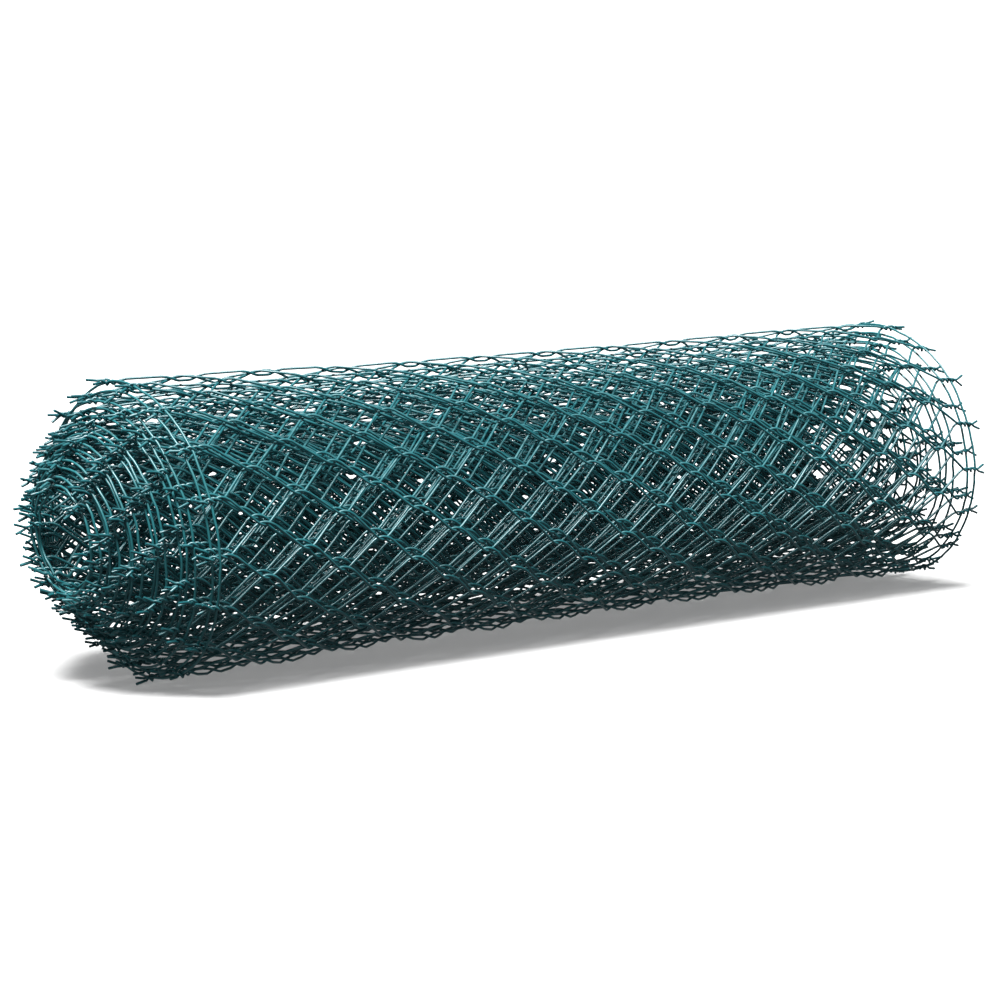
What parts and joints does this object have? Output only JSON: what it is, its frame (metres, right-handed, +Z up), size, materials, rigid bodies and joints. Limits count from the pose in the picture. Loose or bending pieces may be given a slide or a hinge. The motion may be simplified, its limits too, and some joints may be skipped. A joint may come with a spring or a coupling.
{
  "type": "roll of wire fencing",
  "caption": "Loosely wound roll of green plastic-coated chain-link fencing, lying on its side, with twisted barbs and an edge wire along both ends.",
  "frame": {"origin": "on the floor under the middle of the roll's box", "axes": "+X along the roll's axis from the end where the core stands out to the other end, +Y towards the side where the outermost turn ends, +Z up"},
  "size_m": [1.0416, 0.2753, 0.2712],
  "materials": {
    "coated_wire": "satin",
    "edge_wire": "satin"
  },
  "bodies": {
    "root": {"netting_roll": "coated_wire", "line_wire_left": "edge_wire", "line_wire_right": "edge_wire"}
  },
  "joints": []
}
